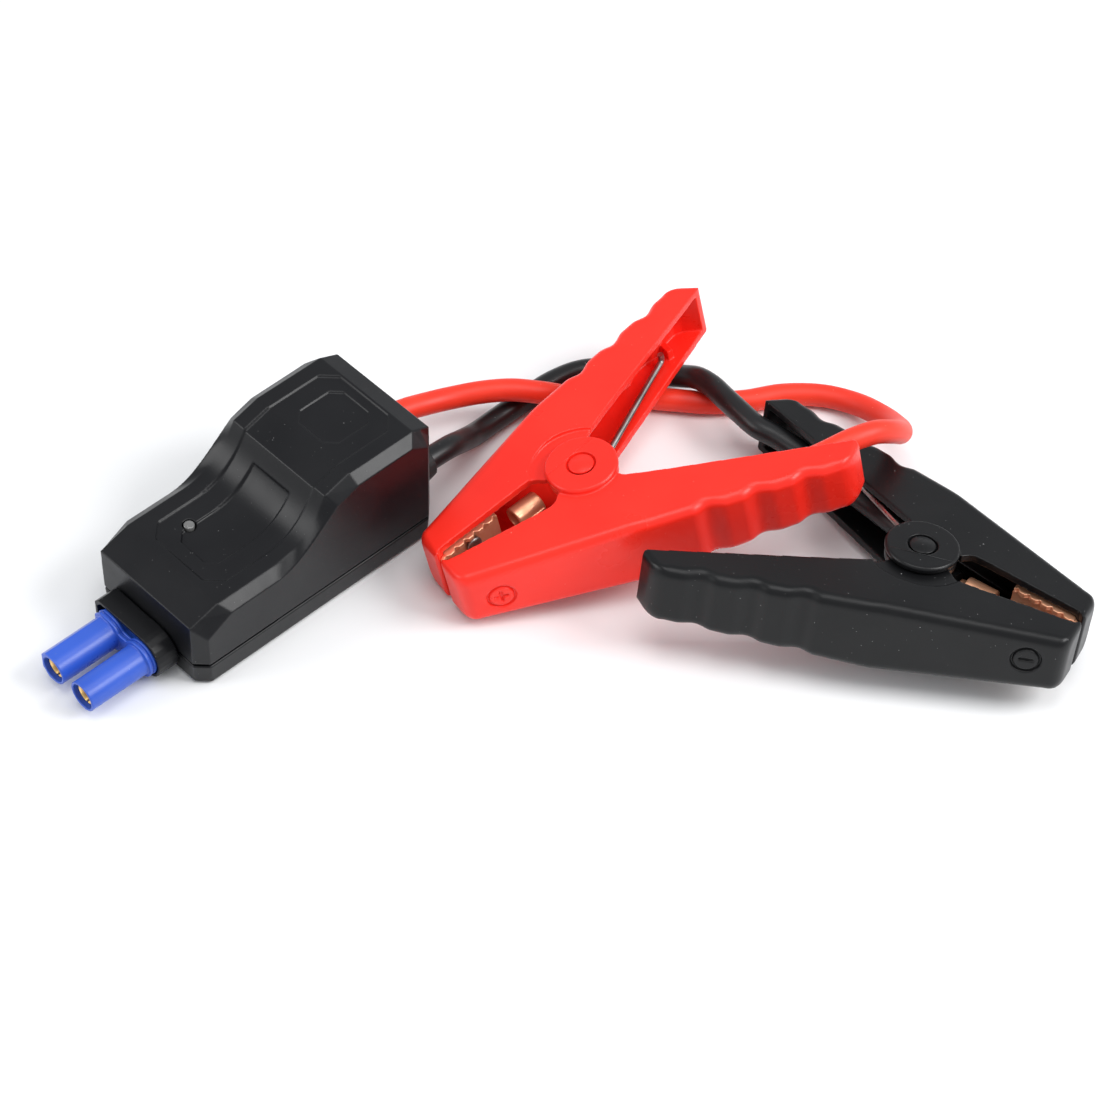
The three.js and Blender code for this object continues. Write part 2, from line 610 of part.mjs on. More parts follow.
function pivotPin() {
  const { pinRadius, boss } = CLAMP;
  const profile = [[0, -11], [boss, -11], [boss, -10.4], [pinRadius, -10.4],
    [pinRadius, 10.4], [boss, 10.4], [boss, 11], [0, 11]];
  const points = profile.map(([r, z]) => new THREE.Vector2(r, z));
  return new THREE.LatheGeometry(points, 24).rotateX(Math.PI / 2);
}

// Coil around the pin with a straight leg along each grip, hooked at its end
function clampSpring() {
  const { coil, wire, coilHalf, coilTurns, legAngle, legReach } = CLAMP;
  const leave = (90 - legAngle) * RAD;
  const leg = (side) => {
    const along = (reach) => [
      coil * Math.cos(leave) - reach * Math.cos(legAngle * RAD),
      side * (coil * Math.sin(leave) + reach * Math.sin(legAngle * RAD)), side * coilHalf];
    const [x, y, z] = along(legReach);
    const bend = [x, y, z - side * 0.5];
    return [[x, y, z - side * 2], bend, along(legReach - 1), along(legReach - 4), along(legReach / 2)];
  };
  const points = leg(1);
  const count = 40;
  for (let i = 0; i <= count; i++) {
    const angle = leave - (i / count) * (2 * leave + coilTurns * 2 * Math.PI);
    const z = coilHalf * (1 - 2 * i / count);
    points.push([coil * Math.cos(angle), coil * Math.sin(angle), z]);
  }
  points.push(...leg(-1).reverse());
  return tube(points, wire, 6, 110);
}

function clamp(colour, material) {
  const group = new THREE.Group();
  const { place, turn, tiltX, tiltY } = POSES[colour];
  const tilt = new THREE.Vector3(tiltX * RAD, tiltY * RAD, 0);
  const lean = new THREE.Quaternion().setFromAxisAngle(tilt.clone().normalize(), tilt.length());
  const heading = new THREE.Quaternion().setFromAxisAngle(new THREE.Vector3(0, 0, 1), turn * RAD);
  group.position.set(...place);
  group.quaternion.copy(lean.multiply(heading));
  const positive = colour === 'red';
  const half = geometryOf(gripHalf(positive));
  const plate = geometryOf(jawPlate());
  for (const side of ['a', 'b']) {
    const pieces = [
      piece(`${colour}_grip_${side}`, half.clone(), material),
      piece(`${colour}_jaw_${side}`, plate.clone(), MATERIALS.copper),
      piece(`${colour}_rivet_${side}`, jawRivet(), MATERIALS.steel),
    ];
    for (const mesh of pieces) {
      if (side === 'b') mesh.rotation.x = Math.PI;
      group.add(mesh);
    }
  }
  group.add(piece(`${colour}_pivot_pin`, pivotPin(), material));
  group.add(piece(`${colour}_spring`, clampSpring(), MATERIALS.steel));
  group.add(piece(`${colour}_conductor`, conductor(), MATERIALS.copper));
  return group;
}

// ---- Cables -------------------------------------------------------------

const model = new THREE.Group();
model.add(controlBox());
model.add(clamp('red', MATERIALS.clampRed));
model.add(clamp('black', MATERIALS.clampBlack));
model.add(piece('red_cable', tube(CABLE.red, CABLE.radius, CABLE.sides, 76), MATERIALS.cableRed));
model.add(piece('black_cable', tube(CABLE.black, CABLE.radius, CABLE.sides, 64),
  MATERIALS.cableBlack));
export default model;
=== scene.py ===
# Jump leads with a control box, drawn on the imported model's frame. Shapes are worked out in
# millimetres and turned into metres when each piece is finished.
import json
import math
import bpy
from mathutils import Matrix, Quaternion, Vector


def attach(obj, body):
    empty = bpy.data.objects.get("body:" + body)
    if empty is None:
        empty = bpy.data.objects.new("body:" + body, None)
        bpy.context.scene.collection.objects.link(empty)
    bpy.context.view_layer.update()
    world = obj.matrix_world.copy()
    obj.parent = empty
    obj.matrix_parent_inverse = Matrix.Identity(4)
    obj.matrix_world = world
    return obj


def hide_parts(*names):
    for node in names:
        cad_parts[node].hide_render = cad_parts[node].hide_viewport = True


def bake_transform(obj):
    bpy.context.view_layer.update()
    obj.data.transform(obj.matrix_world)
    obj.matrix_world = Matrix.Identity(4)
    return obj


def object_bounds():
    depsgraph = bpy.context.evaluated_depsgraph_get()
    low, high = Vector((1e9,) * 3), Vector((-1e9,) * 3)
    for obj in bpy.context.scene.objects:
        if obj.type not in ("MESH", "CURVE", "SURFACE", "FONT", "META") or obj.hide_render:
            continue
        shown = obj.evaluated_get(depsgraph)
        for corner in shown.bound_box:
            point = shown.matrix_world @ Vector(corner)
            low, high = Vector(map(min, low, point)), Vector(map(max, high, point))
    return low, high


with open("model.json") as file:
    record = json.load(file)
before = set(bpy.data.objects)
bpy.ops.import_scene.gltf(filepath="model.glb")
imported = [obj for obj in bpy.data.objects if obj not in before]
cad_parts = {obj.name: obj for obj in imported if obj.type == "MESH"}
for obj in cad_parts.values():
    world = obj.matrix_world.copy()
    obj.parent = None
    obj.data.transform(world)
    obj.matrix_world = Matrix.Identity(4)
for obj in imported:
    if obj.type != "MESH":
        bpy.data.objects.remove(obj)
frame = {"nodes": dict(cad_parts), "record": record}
cad_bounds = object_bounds()

MM = 0.001
RAD = math.pi / 180
GAP = 0.3  # clearance between neighbouring parts
WALL = 2  # thickness of the case and of the grips

# Control box: outer size, corner cut, and the height of the line between its halves
LENGTH, WIDTH, CORNER, SPLIT = 73.5, 38, 2.8, 6.5
FRONT = -LENGTH / 2
BOX_TURN = 45.3 * RAD
BOX_PLACE = Matrix.Rotation(BOX_TURN, 4, "Z")

# Connector: height and pitch of the two barrels, and where they and the contacts begin
BARREL_Z, BARREL_PITCH = 5.9, 10.75
BARREL_START, CONTACT_START = FRONT - 24, FRONT - 22.8

# Status lamp on the lower deck
LED_PLACE = Matrix.Translation((FRONT + 19.2, 7.1, 0))


# ---- Camera, floor and light ---------------------------------------------

# Both in millimetres, then the camera's place, its pitch below the horizon and its roll
SENSOR_WIDTH, LENS = 36, 107.03
CAMERA_PLACE = (67.87, -513.76, 598.0)
CAMERA_PITCH, CAMERA_ROLL = 49 * RAD, 2 * RAD


def camera():
    data = bpy.data.cameras.new("camera")
    data.sensor_width = SENSOR_WIDTH
    data.lens = LENS
    obj = bpy.data.objects.new("camera", data)
    bpy.context.scene.collection.objects.link(obj)
    forward = Vector((0, math.cos(CAMERA_PITCH), -math.sin(CAMERA_PITCH)))
    upward = Vector((0, math.sin(CAMERA_PITCH), math.cos(CAMERA_PITCH)))
    side = Vector((1, 0, 0))
    right = side * math.cos(CAMERA_ROLL) + upward * math.sin(CAMERA_ROLL)
    up = -side * math.sin(CAMERA_ROLL) + upward * math.cos(CAMERA_ROLL)
    turn = Matrix((right, up, -forward)).transposed().to_4x4()
    obj.matrix_world = Matrix.Translation(Vector(CAMERA_PLACE) * MM) @ turn
    bpy.context.scene.camera = obj


def area_light(name, place, target, size, power):
    data = bpy.data.lights.new(name, "AREA")
    data.shape = "RECTANGLE"
    data.size, data.size_y = size
    data.energy = power
    obj = bpy.data.objects.new(name, data)
    bpy.context.scene.collection.objects.link(obj)
    obj.location = place
    aim = Vector(target) - Vector(place)
    obj.rotation_euler = aim.to_track_quat("-Z", "Y").to_euler()


def studio():
    scene = bpy.context.scene
    scene.view_settings.view_transform = "Standard"
    world = bpy.data.worlds.new("studio")
    world.use_nodes = True
    background = world.node_tree.nodes["Background"]
    background.inputs["Color"].default_value = (0.95, 0.97, 1, 1)
    background.inputs["Strength"].default_value = 0.58
    scene.world = world
    centre = (0.07, 0.01, 0.01)
    area_light("top_soft", (0.07, -0.1, 0.9), centre, (0.6, 0.5), 2.9)
    area_light("left_soft", (-0.75, -0.1, 0.4), centre, (0.5, 0.4), 2.6)
    area_light("right_soft", (0.73, -0.1, 0.62), centre, (0.46, 0.46), 6)


def floor():
    mesh = bpy.data.meshes.new("floor")
    half = 6
    corners = [(-half, -half, 0), (half, -half, 0), (half, half, 0), (-half, half, 0)]
    mesh.from_pydata(corners, [], [(0, 1, 2, 3)])
    obj = bpy.data.objects.new("floor", mesh)
    bpy.context.scene.collection.objects.link(obj)
    obj.location.z = cad_bounds[0][2] - 0.0002
    obj.data.materials.append(simple_material("floor", (0.86, 0.865, 0.87), 0.75))


# ---- Materials ------------------------------------------------------------

def simple_material(name, color, roughness, metallic=0.0):
    material = bpy.data.materials.new(name)
    material.use_nodes = True
    shader = material.node_tree.nodes["Principled BSDF"]
    shader.inputs["Base Color"].default_value = (*color, 1)
    shader.inputs["Roughness"].default_value = roughness
    shader.inputs["Metallic"].default_value = metallic
    return material


class Nodes:
    """Short names for the nodes and links of one material."""

    def __init__(self, material):
        self.tree = material.node_tree
        self.shader = self.tree.nodes["Principled BSDF"]
        self.coords = self.tree.nodes.new("ShaderNodeTexCoord").outputs["Object"]

    def link(self, source, target):
        self.tree.links.new(source, target)

    def noise(self, scale, detail=3.0, rough=0.5):
        node = self.tree.nodes.new("ShaderNodeTexNoise")
        node.inputs["Scale"].default_value = scale
        node.inputs["Detail"].default_value = detail
        node.inputs["Roughness"].default_value = rough
        self.link(self.coords, node.inputs["Vector"])
        return node.outputs["Fac"]

    def cells(self, scale):
        node = self.tree.nodes.new("ShaderNodeTexVoronoi")
        node.inputs["Scale"].default_value = scale
        self.link(self.coords, node.inputs["Vector"])
        return node.outputs["Distance"], node.outputs["Color"]

    def ramp(self, value, low, high, out_low=0.0, out_high=1.0):
        node = self.tree.nodes.new("ShaderNodeMapRange")
        node.inputs["From Min"].default_value = low
        node.inputs["From Max"].default_value = high
        node.inputs["To Min"].default_value = out_low
        node.inputs["To Max"].default_value = out_high
        self.link(value, node.inputs["Value"])
        return node.outputs["Result"]

    def math(self, kind, a, b):
        node = self.tree.nodes.new("ShaderNodeMath")
        node.operation = kind
        for slot, value in zip(node.inputs, (a, b)):
            if isinstance(value, (int, float)):
                slot.default_value = value
            else:
                self.link(value, slot)
        return node.outputs[0]

    def mix(self, factor, first, second):
        node = self.tree.nodes.new("ShaderNodeMix")
        node.data_type = "RGBA"
        sockets = (node.inputs["Factor"], node.inputs[6], node.inputs[7])
        for slot, value in zip(sockets, (factor, first, second)):
            if isinstance(value, tuple):
                slot.default_value = (*value, 1)
            else:
                self.link(value, slot)
        return node.outputs[2]

    def bump(self, height, strength, distance):
        node = self.tree.nodes.new("ShaderNodeBump")
        node.inputs["Strength"].default_value = strength
        node.inputs["Distance"].default_value = distance
        self.link(height, node.inputs["Height"])
        self.link(node.outputs["Normal"], self.shader.inputs["Normal"])

    def specks(self, scale, size, amount):
        """Small scattered grains: 1 inside a grain, 0 elsewhere."""
        distance, color = self.cells(scale)
        split = self.tree.nodes.new("ShaderNodeSeparateColor")
        self.link(color, split.inputs["Color"])
        chosen = self.math("LESS_THAN", split.outputs[0], amount)
        reach = self.math("MULTIPLY", split.outputs[1], size)
        inside = self.math("LESS_THAN", distance, reach)
        return self.math("MULTIPLY", chosen, inside)


def plastic(name, color, shade, roughness, dust, grain=0.25, amount=0.03, gloss=0.5):
    """Moulded plastic: slightly uneven colour and gloss, fine grain, and specks of dust."""
    material = simple_material(name, color, roughness)
    n = Nodes(material)
    n.shader.inputs["Specular IOR Level"].default_value = gloss
    tint = n.mix(n.ramp(n.noise(60, 2), 0.35, 0.65), color, shade)
    dots = n.specks(2100, 0.24, amount)
    lint = n.specks(800, 0.13, amount)
    dusty = n.math("MAXIMUM", dots, lint)
    n.link(n.mix(dusty, tint, dust), n.shader.inputs["Base Color"])
    worn = n.ramp(n.noise(45, 4, 0.6), 0.3, 0.7, roughness - 0.06, roughness + 0.08)
    n.link(n.math("MAXIMUM", worn, dusty), n.shader.inputs["Roughness"])
    n.bump(n.noise(2600, 2), grain, 0.00004)
    return material


def metal(name, color, shade, roughness, metallic=1.0):
    """Bare metal with stains, and gloss that varies across it."""
    material = simple_material(name, color, roughness, metallic)
    n = Nodes(material)
    stain = n.ramp(n.noise(220, 5, 0.65), 0.35, 0.7)
    n.link(n.mix(stain, color, shade), n.shader.inputs["Base Color"])
    n.link(n.ramp(n.noise(440, 3), 0.3, 0.7, roughness - 0.08, roughness + 0.12),
           n.shader.inputs["Roughness"])
    n.bump(n.noise(1500, 3), 0.2, 0.00003)
    return material


def contact_metal():
    """Gold-coloured rim, painted darker copper-brown deeper in the bore as painted shade."""
    material = simple_material("brass", (0.88, 0.6, 0.25), 0.26, 1.0)
    n = Nodes(material)
    along = n.tree.nodes.new("ShaderNodeVectorMath")
    along.operation = "DOT_PRODUCT"
    along.inputs[1].default_value = (math.cos(BOX_TURN), math.sin(BOX_TURN), 0)
    n.link(n.coords, along.inputs[0])
    rim = CONTACT_START * MM
    depth = n.ramp(along.outputs["Value"], rim + 0.15 * MM, rim + 1.1 * MM)
    stain = n.ramp(n.noise(300, 4), 0.35, 0.7)
    gold = n.mix(stain, (0.95, 0.68, 0.3), (0.84, 0.55, 0.2))
    # Painted shade: the colour darkens from gold to copper-brown with depth into the bore.
    n.link(n.mix(depth, gold, (0.27, 0.09, 0.03)), n.shader.inputs["Base Color"])
    n.link(n.ramp(depth, 0, 1, 0.2, 0.45), n.shader.inputs["Roughness"])
    return material


# One material for each material slot in the record
MATERIALS = {
    "case_black": plastic("case_black", (0.0042, 0.0044, 0.0056), (0.006, 0.0062, 0.0074), 0.34,
                          (0.12, 0.12, 0.12), gloss=0.29),
    "clamp_black": plastic("clamp_black", (0.0042, 0.0044, 0.005), (0.0062, 0.0064, 0.007), 0.33,
                           (0.2, 0.2, 0.2), gloss=0.28),
    "clamp_red": plastic("clamp_red", (0.92, 0.026, 0.014), (0.88, 0.022, 0.012), 0.3,
                         (0.95, 0.2, 0.16), amount=0.015, gloss=0.34),
    "cable_red": plastic("cable_red", (0.86, 0.045, 0.02), (0.78, 0.034, 0.016), 0.44,
                         (0.9, 0.25, 0.2), grain=0.4, amount=0.015, gloss=0.35),
    "cable_black": plastic("cable_black", (0.0065, 0.0067, 0.0075), (0.01, 0.0102, 0.011), 0.36,
                           (0.2, 0.2, 0.2), grain=0.4, gloss=0.4),
    "rubber_black": plastic("rubber_black", (0.009, 0.0092, 0.0096), (0.013, 0.013, 0.0136),
                            0.6, (0.15, 0.15, 0.15), grain=0.5, gloss=0.4),
    "connector_blue": plastic("connector_blue", (0.03, 0.1, 0.54), (0.026, 0.09, 0.5), 0.3,
                              (0.2, 0.3, 0.7), amount=0.015),
    "board_green": plastic("board_green", (0.02, 0.16, 0.06), (0.015, 0.12, 0.05), 0.4,
                           (0.2, 0.35, 0.2)),
    "component_black": plastic("component_black", (0.02, 0.02, 0.022), (0.03, 0.03, 0.032), 0.5,
                               (0.1, 0.1, 0.1)),
    "led_lens": plastic("led_lens", (0.09, 0.09, 0.088), (0.15, 0.15, 0.148), 0.09,
                        (0.3, 0.3, 0.3), amount=0.01, gloss=0.8),
    "copper": metal("copper", (0.95, 0.5, 0.31), (0.88, 0.42, 0.24), 0.36, metallic=0.72),
    "brass": contact_metal(),
    "steel": metal("steel", (0.42, 0.41, 0.4), (0.2, 0.185, 0.175), 0.34),
}


# ---- Mesh tools, in millimetres ------------------------------------------

def circle(radius, sides):
    return [(radius * math.cos(a), radius * math.sin(a))
            for a in (2 * math.pi * i / sides for i in range(sides))]


def body(name, points, faces):
    mesh = bpy.data.meshes.new(name)
    mesh.from_pydata([tuple(p) for p in points], [], faces)
    mesh.validate()
    obj = bpy.data.objects.new(name, mesh)
    bpy.context.scene.collection.objects.link(obj)
    return obj


def loft(rings):
    """Closed body through rings with equal numbers of points."""
    count = len(rings[0])
    points = [p for ring in rings for p in ring]
    faces = []
    for r in range(len(rings) - 1):
        for i in range(count):
            j = (i + 1) % count
            faces.append((r * count + i, r * count + j, (r + 1) * count + j, (r + 1) * count + i))
    last = (len(rings) - 1) * count
    faces.append(tuple(reversed(range(count))))
    faces.append(tuple(range(last, last + count)))
    return body("loft", points, faces)


def prism(outline, low, high):
    return loft([[(x, y, low) for x, y in outline], [(x, y, high) for x, y in outline]])


def block(x0, x1, y0, y1, z0, z1):
    return prism([(x0, y0), (x1, y0), (x1, y1), (x0, y1)], z0, z1)


def stacked(heights, sides):
    """Round upright body; heights are (z, radius) from the bottom up."""
    return loft([[(x, y, z) for x, y in circle(radius, sides)] for z, radius in heights])


def upright(radius, low, high, sides=64, soft=0.0):
    """Cylinder along z, with its two rims cut back by soft."""
    if not soft:
        return stacked([(low, radius), (high, radius)], sides)
    return stacked([(low, radius - soft), (low + soft, radius), (high - soft, radius),
                    (high, radius - soft)], sides)


def turned(profile, sides=48):
    """Closed body turned about the x axis; profile points are (x, radius), all off the axis,
    running once round the section."""
    rings = []
    for i in range(sides):
        a = -2 * math.pi * i / sides
        rings.append([(x, r * math.cos(a), r * math.sin(a)) for x, r in profile])
    count = len(profile)
    points = [p for ring in rings for p in ring]
    faces = []
    for i in range(sides):
        j = (i + 1) % sides
        for k in range(count):
            m = (k + 1) % count
            faces.append((i * count + k, j * count + k, j * count + m, i * count + m))
    return body("turned", points, faces)


def baked(obj):
    """Applies the modifiers."""
    graph = bpy.context.evaluated_depsgraph_get()
    mesh = bpy.data.meshes.new_from_object(obj.evaluated_get(graph))
    obj.modifiers.clear()
    obj.data = mesh
    return obj


def join(obj, other, kind="UNION"):
    modifier = obj.modifiers.new("join", "BOOLEAN")
    modifier.operation = kind
    modifier.solver = "EXACT"
    modifier.object = other
    baked(obj)
    bpy.data.objects.remove(other)
    return obj


def cut(obj, other):
    return join(obj, other, "DIFFERENCE")


def softened(obj, voxel, rounds):
    """Even fine mesh over the whole body, with every edge slightly rounded."""
    modifier = obj.modifiers.new("even", "REMESH")
    modifier.mode = "VOXEL"
    modifier.voxel_size = voxel
    modifier.adaptivity = 0.0
    baked(obj)
    modifier = obj.modifiers.new("soft", "SMOOTH")
    modifier.factor = 0.5
    modifier.iterations = rounds
    return baked(obj)


def finished(obj, name, material, place=Matrix(), riding="base", replaces=()):
    """Places a body, gives it its material, and ties it to the frame."""
    obj.name = name
    obj.data.transform(Matrix.Scale(MM, 4) @ place)
    obj.data.materials.clear()
    obj.data.materials.append(MATERIALS[material])
    for polygon in obj.data.polygons:
        polygon.use_smooth = True
    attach(obj, riding)
    if replaces:
        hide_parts(*replaces)
    return obj


def copy_of(obj):
    twin = bpy.data.objects.new(obj.name, obj.data.copy())
    bpy.context.scene.collection.objects.link(twin)
    return twin


def cad_copy(node):
    """A CAD node's shape as a new body in millimetres."""
    twin = bpy.data.objects.new(node, frame["nodes"][node].data.copy())
    bpy.context.scene.collection.objects.link(twin)
    twin.data.transform(frame["nodes"][node].matrix_world)
    twin.data.transform(Matrix.Scale(1 / MM, 4))
    return twin


# ---- Control box ----------------------------------------------------------

def bezier(a, b, c, d, t):
    """Point at t on the curve from a to d."""
    s = 1 - t
    parts = zip(a, b, c, d)
    return tuple(s ** 3 * p + 3 * s * s * t * q + 3 * s * t * t * r + t ** 3 * e
                 for p, q, r, e in parts)


def box_stations():
    """Ends of the sloping edge cuts along the case: (x, z) on top, (x, z) at the side, and
    whether the corners are cut there."""
    stations = [((0, 19.8), (0, 16.2), True), ((3, 20.74), (CORNER, 16.2), False),
                ((8.3, 22.4), (10.2, 20.2), False)]
    for i in range(25):
        t = i / 24
        top = bezier((25, 22.4), (33, 22.4), (37.5, 27), (41.2, 34.2), t)
        side = bezier((23, 20.2), (30, 20.2), (35, 26), (42.6, 32), t)
        stations.append((top, side, False))
    stations.append(((48.7, 36.5), (49, 34.2), False))
    stations.append(((68.2, 36.5), (65.7, 34.3), False))
    stations.append(((LENGTH - 3, 35.5), (LENGTH - CORNER, 31.2), False))
    stations.append(((LENGTH, 34.2), (LENGTH, 31.2), True))
    return stations


def box_loft(inset, drop, bottom):
    """The case's outer shape, moved in from the sides and down from the top."""
    inner = WIDTH / 2 - CORNER - inset
    outer = WIDTH / 2 - inset

    def along(u):
        return inset + u * (LENGTH - 2 * inset) / LENGTH + FRONT

    rings = []
    for top, side, narrow in box_stations():
        half = inner if narrow else outer
        rings.append([
            (along(side[0]), -half, bottom), (along(side[0]), half, bottom),
            (along(side[0]), half, side[1] - drop), (along(top[0]), inner, top[1] - drop),
            (along(top[0]), -inner, top[1] - drop), (along(side[0]), -half, side[1] - drop)])
    return loft(rings)


def cut_rectangle(x0, x1, half, front, rear):
    """Rectangle with its corners cut, measured from the front of the case."""
    start, end = x0 + FRONT, x1 + FRONT
    return [(start, -half + front), (start + front, -half), (end - rear, -half),
            (end, -half + rear), (end, half - rear), (end - rear, half),
            (start + front, half), (start, half - front)]


def sunk_panel(outline, depth):
    """The layer to take off the top, inside an outline."""
    skin = cut(box_loft(0, 0, 5), box_loft(0, depth, -10))
    return join(skin, prism(outline, 8, 50), "INTERSECT")


def make_box():
    """Upper shell with three sunk panels, a step above the parting line, and the lamp's hole."""
    shell = box_loft(0, 0, SPLIT + GAP)
    cut(shell, box_loft(WALL, WALL, SPLIT - 2))
    for outline, depth in (
            (cut_rectangle(10.4, 67.8, 12.3, 3.8, 3.8), 0.5),
            (cut_rectangle(14.4, 38.7, 6.6, 2.4, 0.01), 1.1),
            (cut_rectangle(51, 65.3, 7, 2.6, 2.6), 0.95)):
        cut(shell, sunk_panel(outline, depth))
    x, y = LENGTH / 2, WIDTH / 2

    def outline(inset):
        a, b = x - inset, y - inset
        return [(-a, -b + CORNER), (-a + CORNER, -b), (a - CORNER, -b), (a, -b + CORNER),
                (a, b - CORNER), (a - CORNER, b), (-a + CORNER, b), (-a, b - CORNER)]

    cut(shell, cut(prism(outline(-2), 6, 7.3), prism(outline(0.5), 5, 8)))
    hole = upright(1.65, 15, 30)
    hole.data.transform(LED_PLACE)
    cut(shell, hole)
    return softened(shell, 0.26, 1)


def make_led():
    """Clear lamp with a low dome."""
    rim, radius, rise = 21.75, 1.3, 0.3
    heights = [(17, radius), (rim, radius)]
    heights += [(rim + rise * math.sin(a), 0.03 + (radius - 0.03) * math.cos(a))
                for a in (math.pi / 2 * i / 8 for i in range(1, 9))]
    led = stacked(heights, 48)
    led.data.transform(LED_PLACE)
    return led


# ---- Clamps ---------------------------------------------------------------

# In a clamp's own frame the hinge is the z axis, the nose lies along +x, and grip a along +y.
# Radii round the hinge: disc, ear, recess for the other grip's disc, pin head, pin hole
DISC, EAR, RECESS, BOSS, PIN_HOLE = 8.85, 8.5, 12.8, 3.3, 2.75
DISC_TOP, DISC_UNDER = 11.1, 9.2
PIVOT_HALF = 9.9  # half the grip's height at the hinge
NOSE_X, BACK_SLOPE = 40.9, 0.3635
# Middles of the three finger grooves, half their length, and their depth
GROOVES, GROOVE_HALF, GROOVE_DEPTH = (-16.6, -28.1, -39.6), 4.2, 1.2
SPRING_HALF = 5  # half the coil's length along the pin

# Pivot, then heading and tilt about x and y in degrees
CLAMP_POSES = {"red": ((75.4, 12.4, 15.15), 213.2, -0.1, -11.6),
               "black": ((152.1, -10.5, 14.5), 333.8, -8.9, 4)}


def clamp_place(colour):
    place, turn, tilt_x, tilt_y = CLAMP_POSES[colour]
    tilt = Vector((tilt_x * RAD, tilt_y * RAD, 0))
    lean = Quaternion(tilt.normalized(), tilt.length)
    heading = Quaternion((0, 0, 1), turn * RAD)
    return Matrix.Translation(place) @ (lean @ heading).to_matrix().to_4x4()


def half_height(x):
    """Half the grip's height: it tapers to the nose and to the hand end."""
    if x > 0:
        return PIVOT_HALF - 2.25 * x / NOSE_X
    return PIVOT_HALF + 2.4 * x / 56


def back_edge(x):
    """The grip's outer edge: straight along the nose, with finger grooves along the handle."""
    if x > -2:
        return 9.9 + BACK_SLOPE * (NOSE_X - x)
    away = min(abs(x - groove) for groove in GROOVES)
    dip = (1 + math.cos(math.pi * min(away / GROOVE_HALF, 1))) / 2
    return 25.5 + 0.285 * (-2 - x) - GROOVE_DEPTH * dip


def line_at(points, x):
    """Height of a line of points with falling x."""
    for (x0, y0), (x1, y1) in zip(points, points[1:]):
        if x1 <= x <= x0:
            return y0 + (y1 - y0) * (x - x0) / (x1 - x0)
    return points[-1][1]


# The grip's inner edge from nose to hand end
INNER = [(40.4, 0.9), (39.6, 1.9), (38, 2.3), (32, 3), (26, 3.7), (21, 4.3), (15, 5), (12, 5.25),
         (10.6, 4.9), (9.6, 4), (8.6, 3), (2, 2.8), (-4, 4.6), (-6.6, 8.6), (-15, 13.2),
         (-56, 34.2)]


def on_arc(centre, radius, start, stop, t):
    angle = (start + (stop - start) * t) * RAD
    return centre[0] + radius * math.cos(angle), centre[1] + radius * math.sin(angle)


def grip_stations():
    """Inner point, outer point, and how far the ring is drawn in to round the two ends."""
    stations = []
    for i in range(8):
        t = i / 7
        inner = on_arc((40, 1.95), 0.9, 0, -90, t)
        outer = on_arc((37.3, 7.38), 3.6, 0, 70, t)
        stations.append((inner, outer, 1.7 * (1 - math.sin(t * math.pi / 2))))
    stations.append(((39.6, 1.5), (38.3, back_edge(38.3)), 0))
    stations.append(((39.1, 2.05), (37.9, back_edge(37.9)), 0))
    x = 37.4
    while x > -3:
        stations.append(((x, line_at(INNER, x)), (x, back_edge(x)), 0))
        x -= 0.7
    while x > -46.4:
        slide = 4.6 * (x + 3) / 44.6
        stations.append(((x + slide, line_at(INNER, x + slide)), (x, back_edge(x)), 0))
        x -= 0.55
    for i in range(10):
        t = i / 9
        inner = on_arc((-54.15, 34.38), 1, 243.1, 128.3, t)
        outer = on_arc((-48.48, 32.51), 6, 74.1, 128.3, t)
        stations.append((inner, outer, 2 * (1 - math.cos(t * math.pi / 2))))
    return stations


def grip_ring(inner, outer, drawn):
    """Section from the inner edge to the outer one, whose two corners are rounded."""
    size = math.hypot(outer[0] - inner[0], outer[1] - inner[1])
    ux, uy = (outer[0] - inner[0]) / size, (outer[1] - inner[1]) / size
    low, high = half_height(inner[0]) - drawn, half_height(outer[0]) - drawn
    r = min(2.5, size * 0.6)
    ring = [(*inner, -low), (*inner, low)]
    bends = [math.pi / 2 * i / 6 for i in range(7)]
    for a in bends:
        back = size - r + r * math.sin(a)
        ring.append((inner[0] + ux * back, inner[1] + uy * back, high - r + r * math.cos(a)))
    for a in bends:
        back = size - r + r * math.cos(a)
        ring.append((inner[0] + ux * back, inner[1] + uy * back, -high + r - r * math.sin(a)))
    return ring


def cavity_ring(inner, outer):
    """The same section's hollow, which opens at the inner edge."""
    size = math.hypot(outer[0] - inner[0], outer[1] - inner[1])
    ux, uy = (outer[0] - inner[0]) / size, (outer[1] - inner[1]) / size
    low, high = half_height(inner[0]) - WALL, half_height(outer[0]) - WALL
    ring = []
    for back, z in ((-6, -low), (-6, low), (size - WALL, high), (size - WALL, -high)):
        ring.append((inner[0] + ux * back, inner[1] + uy * back, z))
    return ring


def polarity_mark(positive):
    """Cutter for a ring round a plus or a minus, on the back of the nose."""
    mark = cut(upright(3.6, -0.75, 1), upright(2.9, -1, 2))
    join(mark, block(-1.8, 1.8, -0.42, 0.42, -0.7, 1))
    if positive:
        join(mark, block(-0.42, 0.42, -1.8, 1.8, -0.7, 1))
    turn = Matrix.Rotation(-math.atan(BACK_SLOPE), 4, "Z") @ Matrix.Rotation(-math.pi / 2, 4, "X")
    mark.data.transform(Matrix.Translation((32.6, back_edge(32.6), -1)) @ turn)
    return mark


